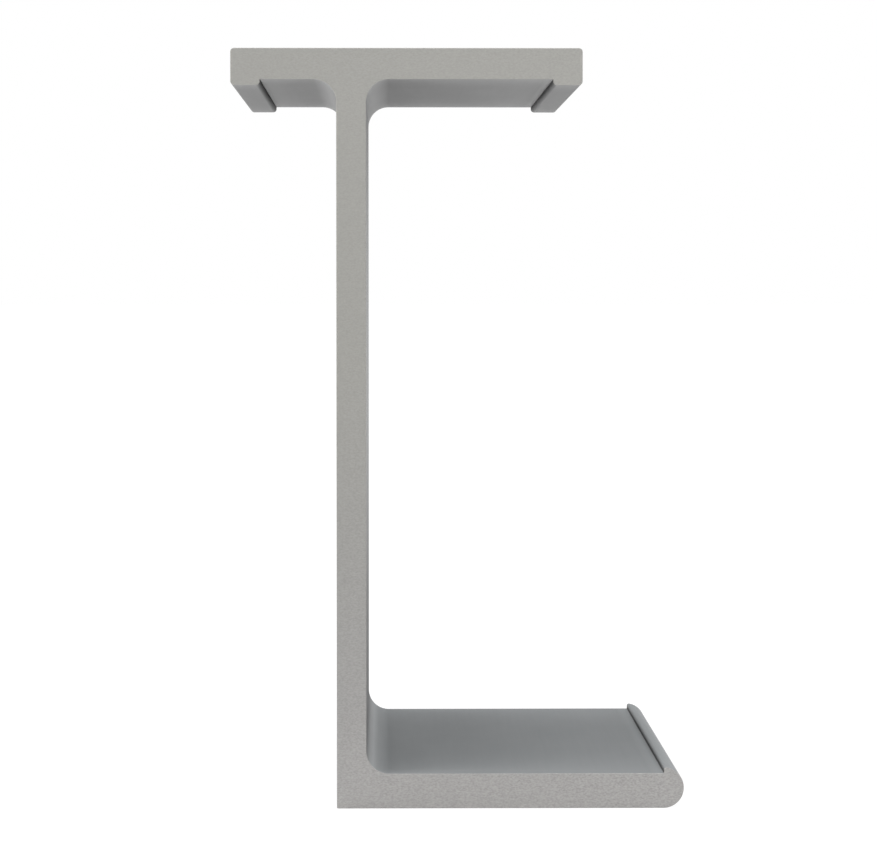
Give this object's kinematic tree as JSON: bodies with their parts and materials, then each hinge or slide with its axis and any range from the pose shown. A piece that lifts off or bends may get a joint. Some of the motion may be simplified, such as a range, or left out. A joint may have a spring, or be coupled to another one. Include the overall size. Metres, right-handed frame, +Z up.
{
  "type": "lipped steel channel section",
  "caption": "Short sawn length of steel channel: a thin web, an upper flange that reaches both ways with shallow lips, and a thicker lower flange with a raised round nose.",
  "frame": {"origin": "on the floor, under the middle of the section's whole outline and halfway along its length", "axes": "+X across the flanges towards the lower flange's nose, +Y along the length away from the sawn end that the picture shows, +Z up the web"},
  "size_m": [0.1193, 0.15, 0.2],
  "materials": {
    "steel": "satin mill surface, with fine-grained sawn ends"
  },
  "bodies": {
    "root": {"channel": "steel"}
  },
  "joints": []
}
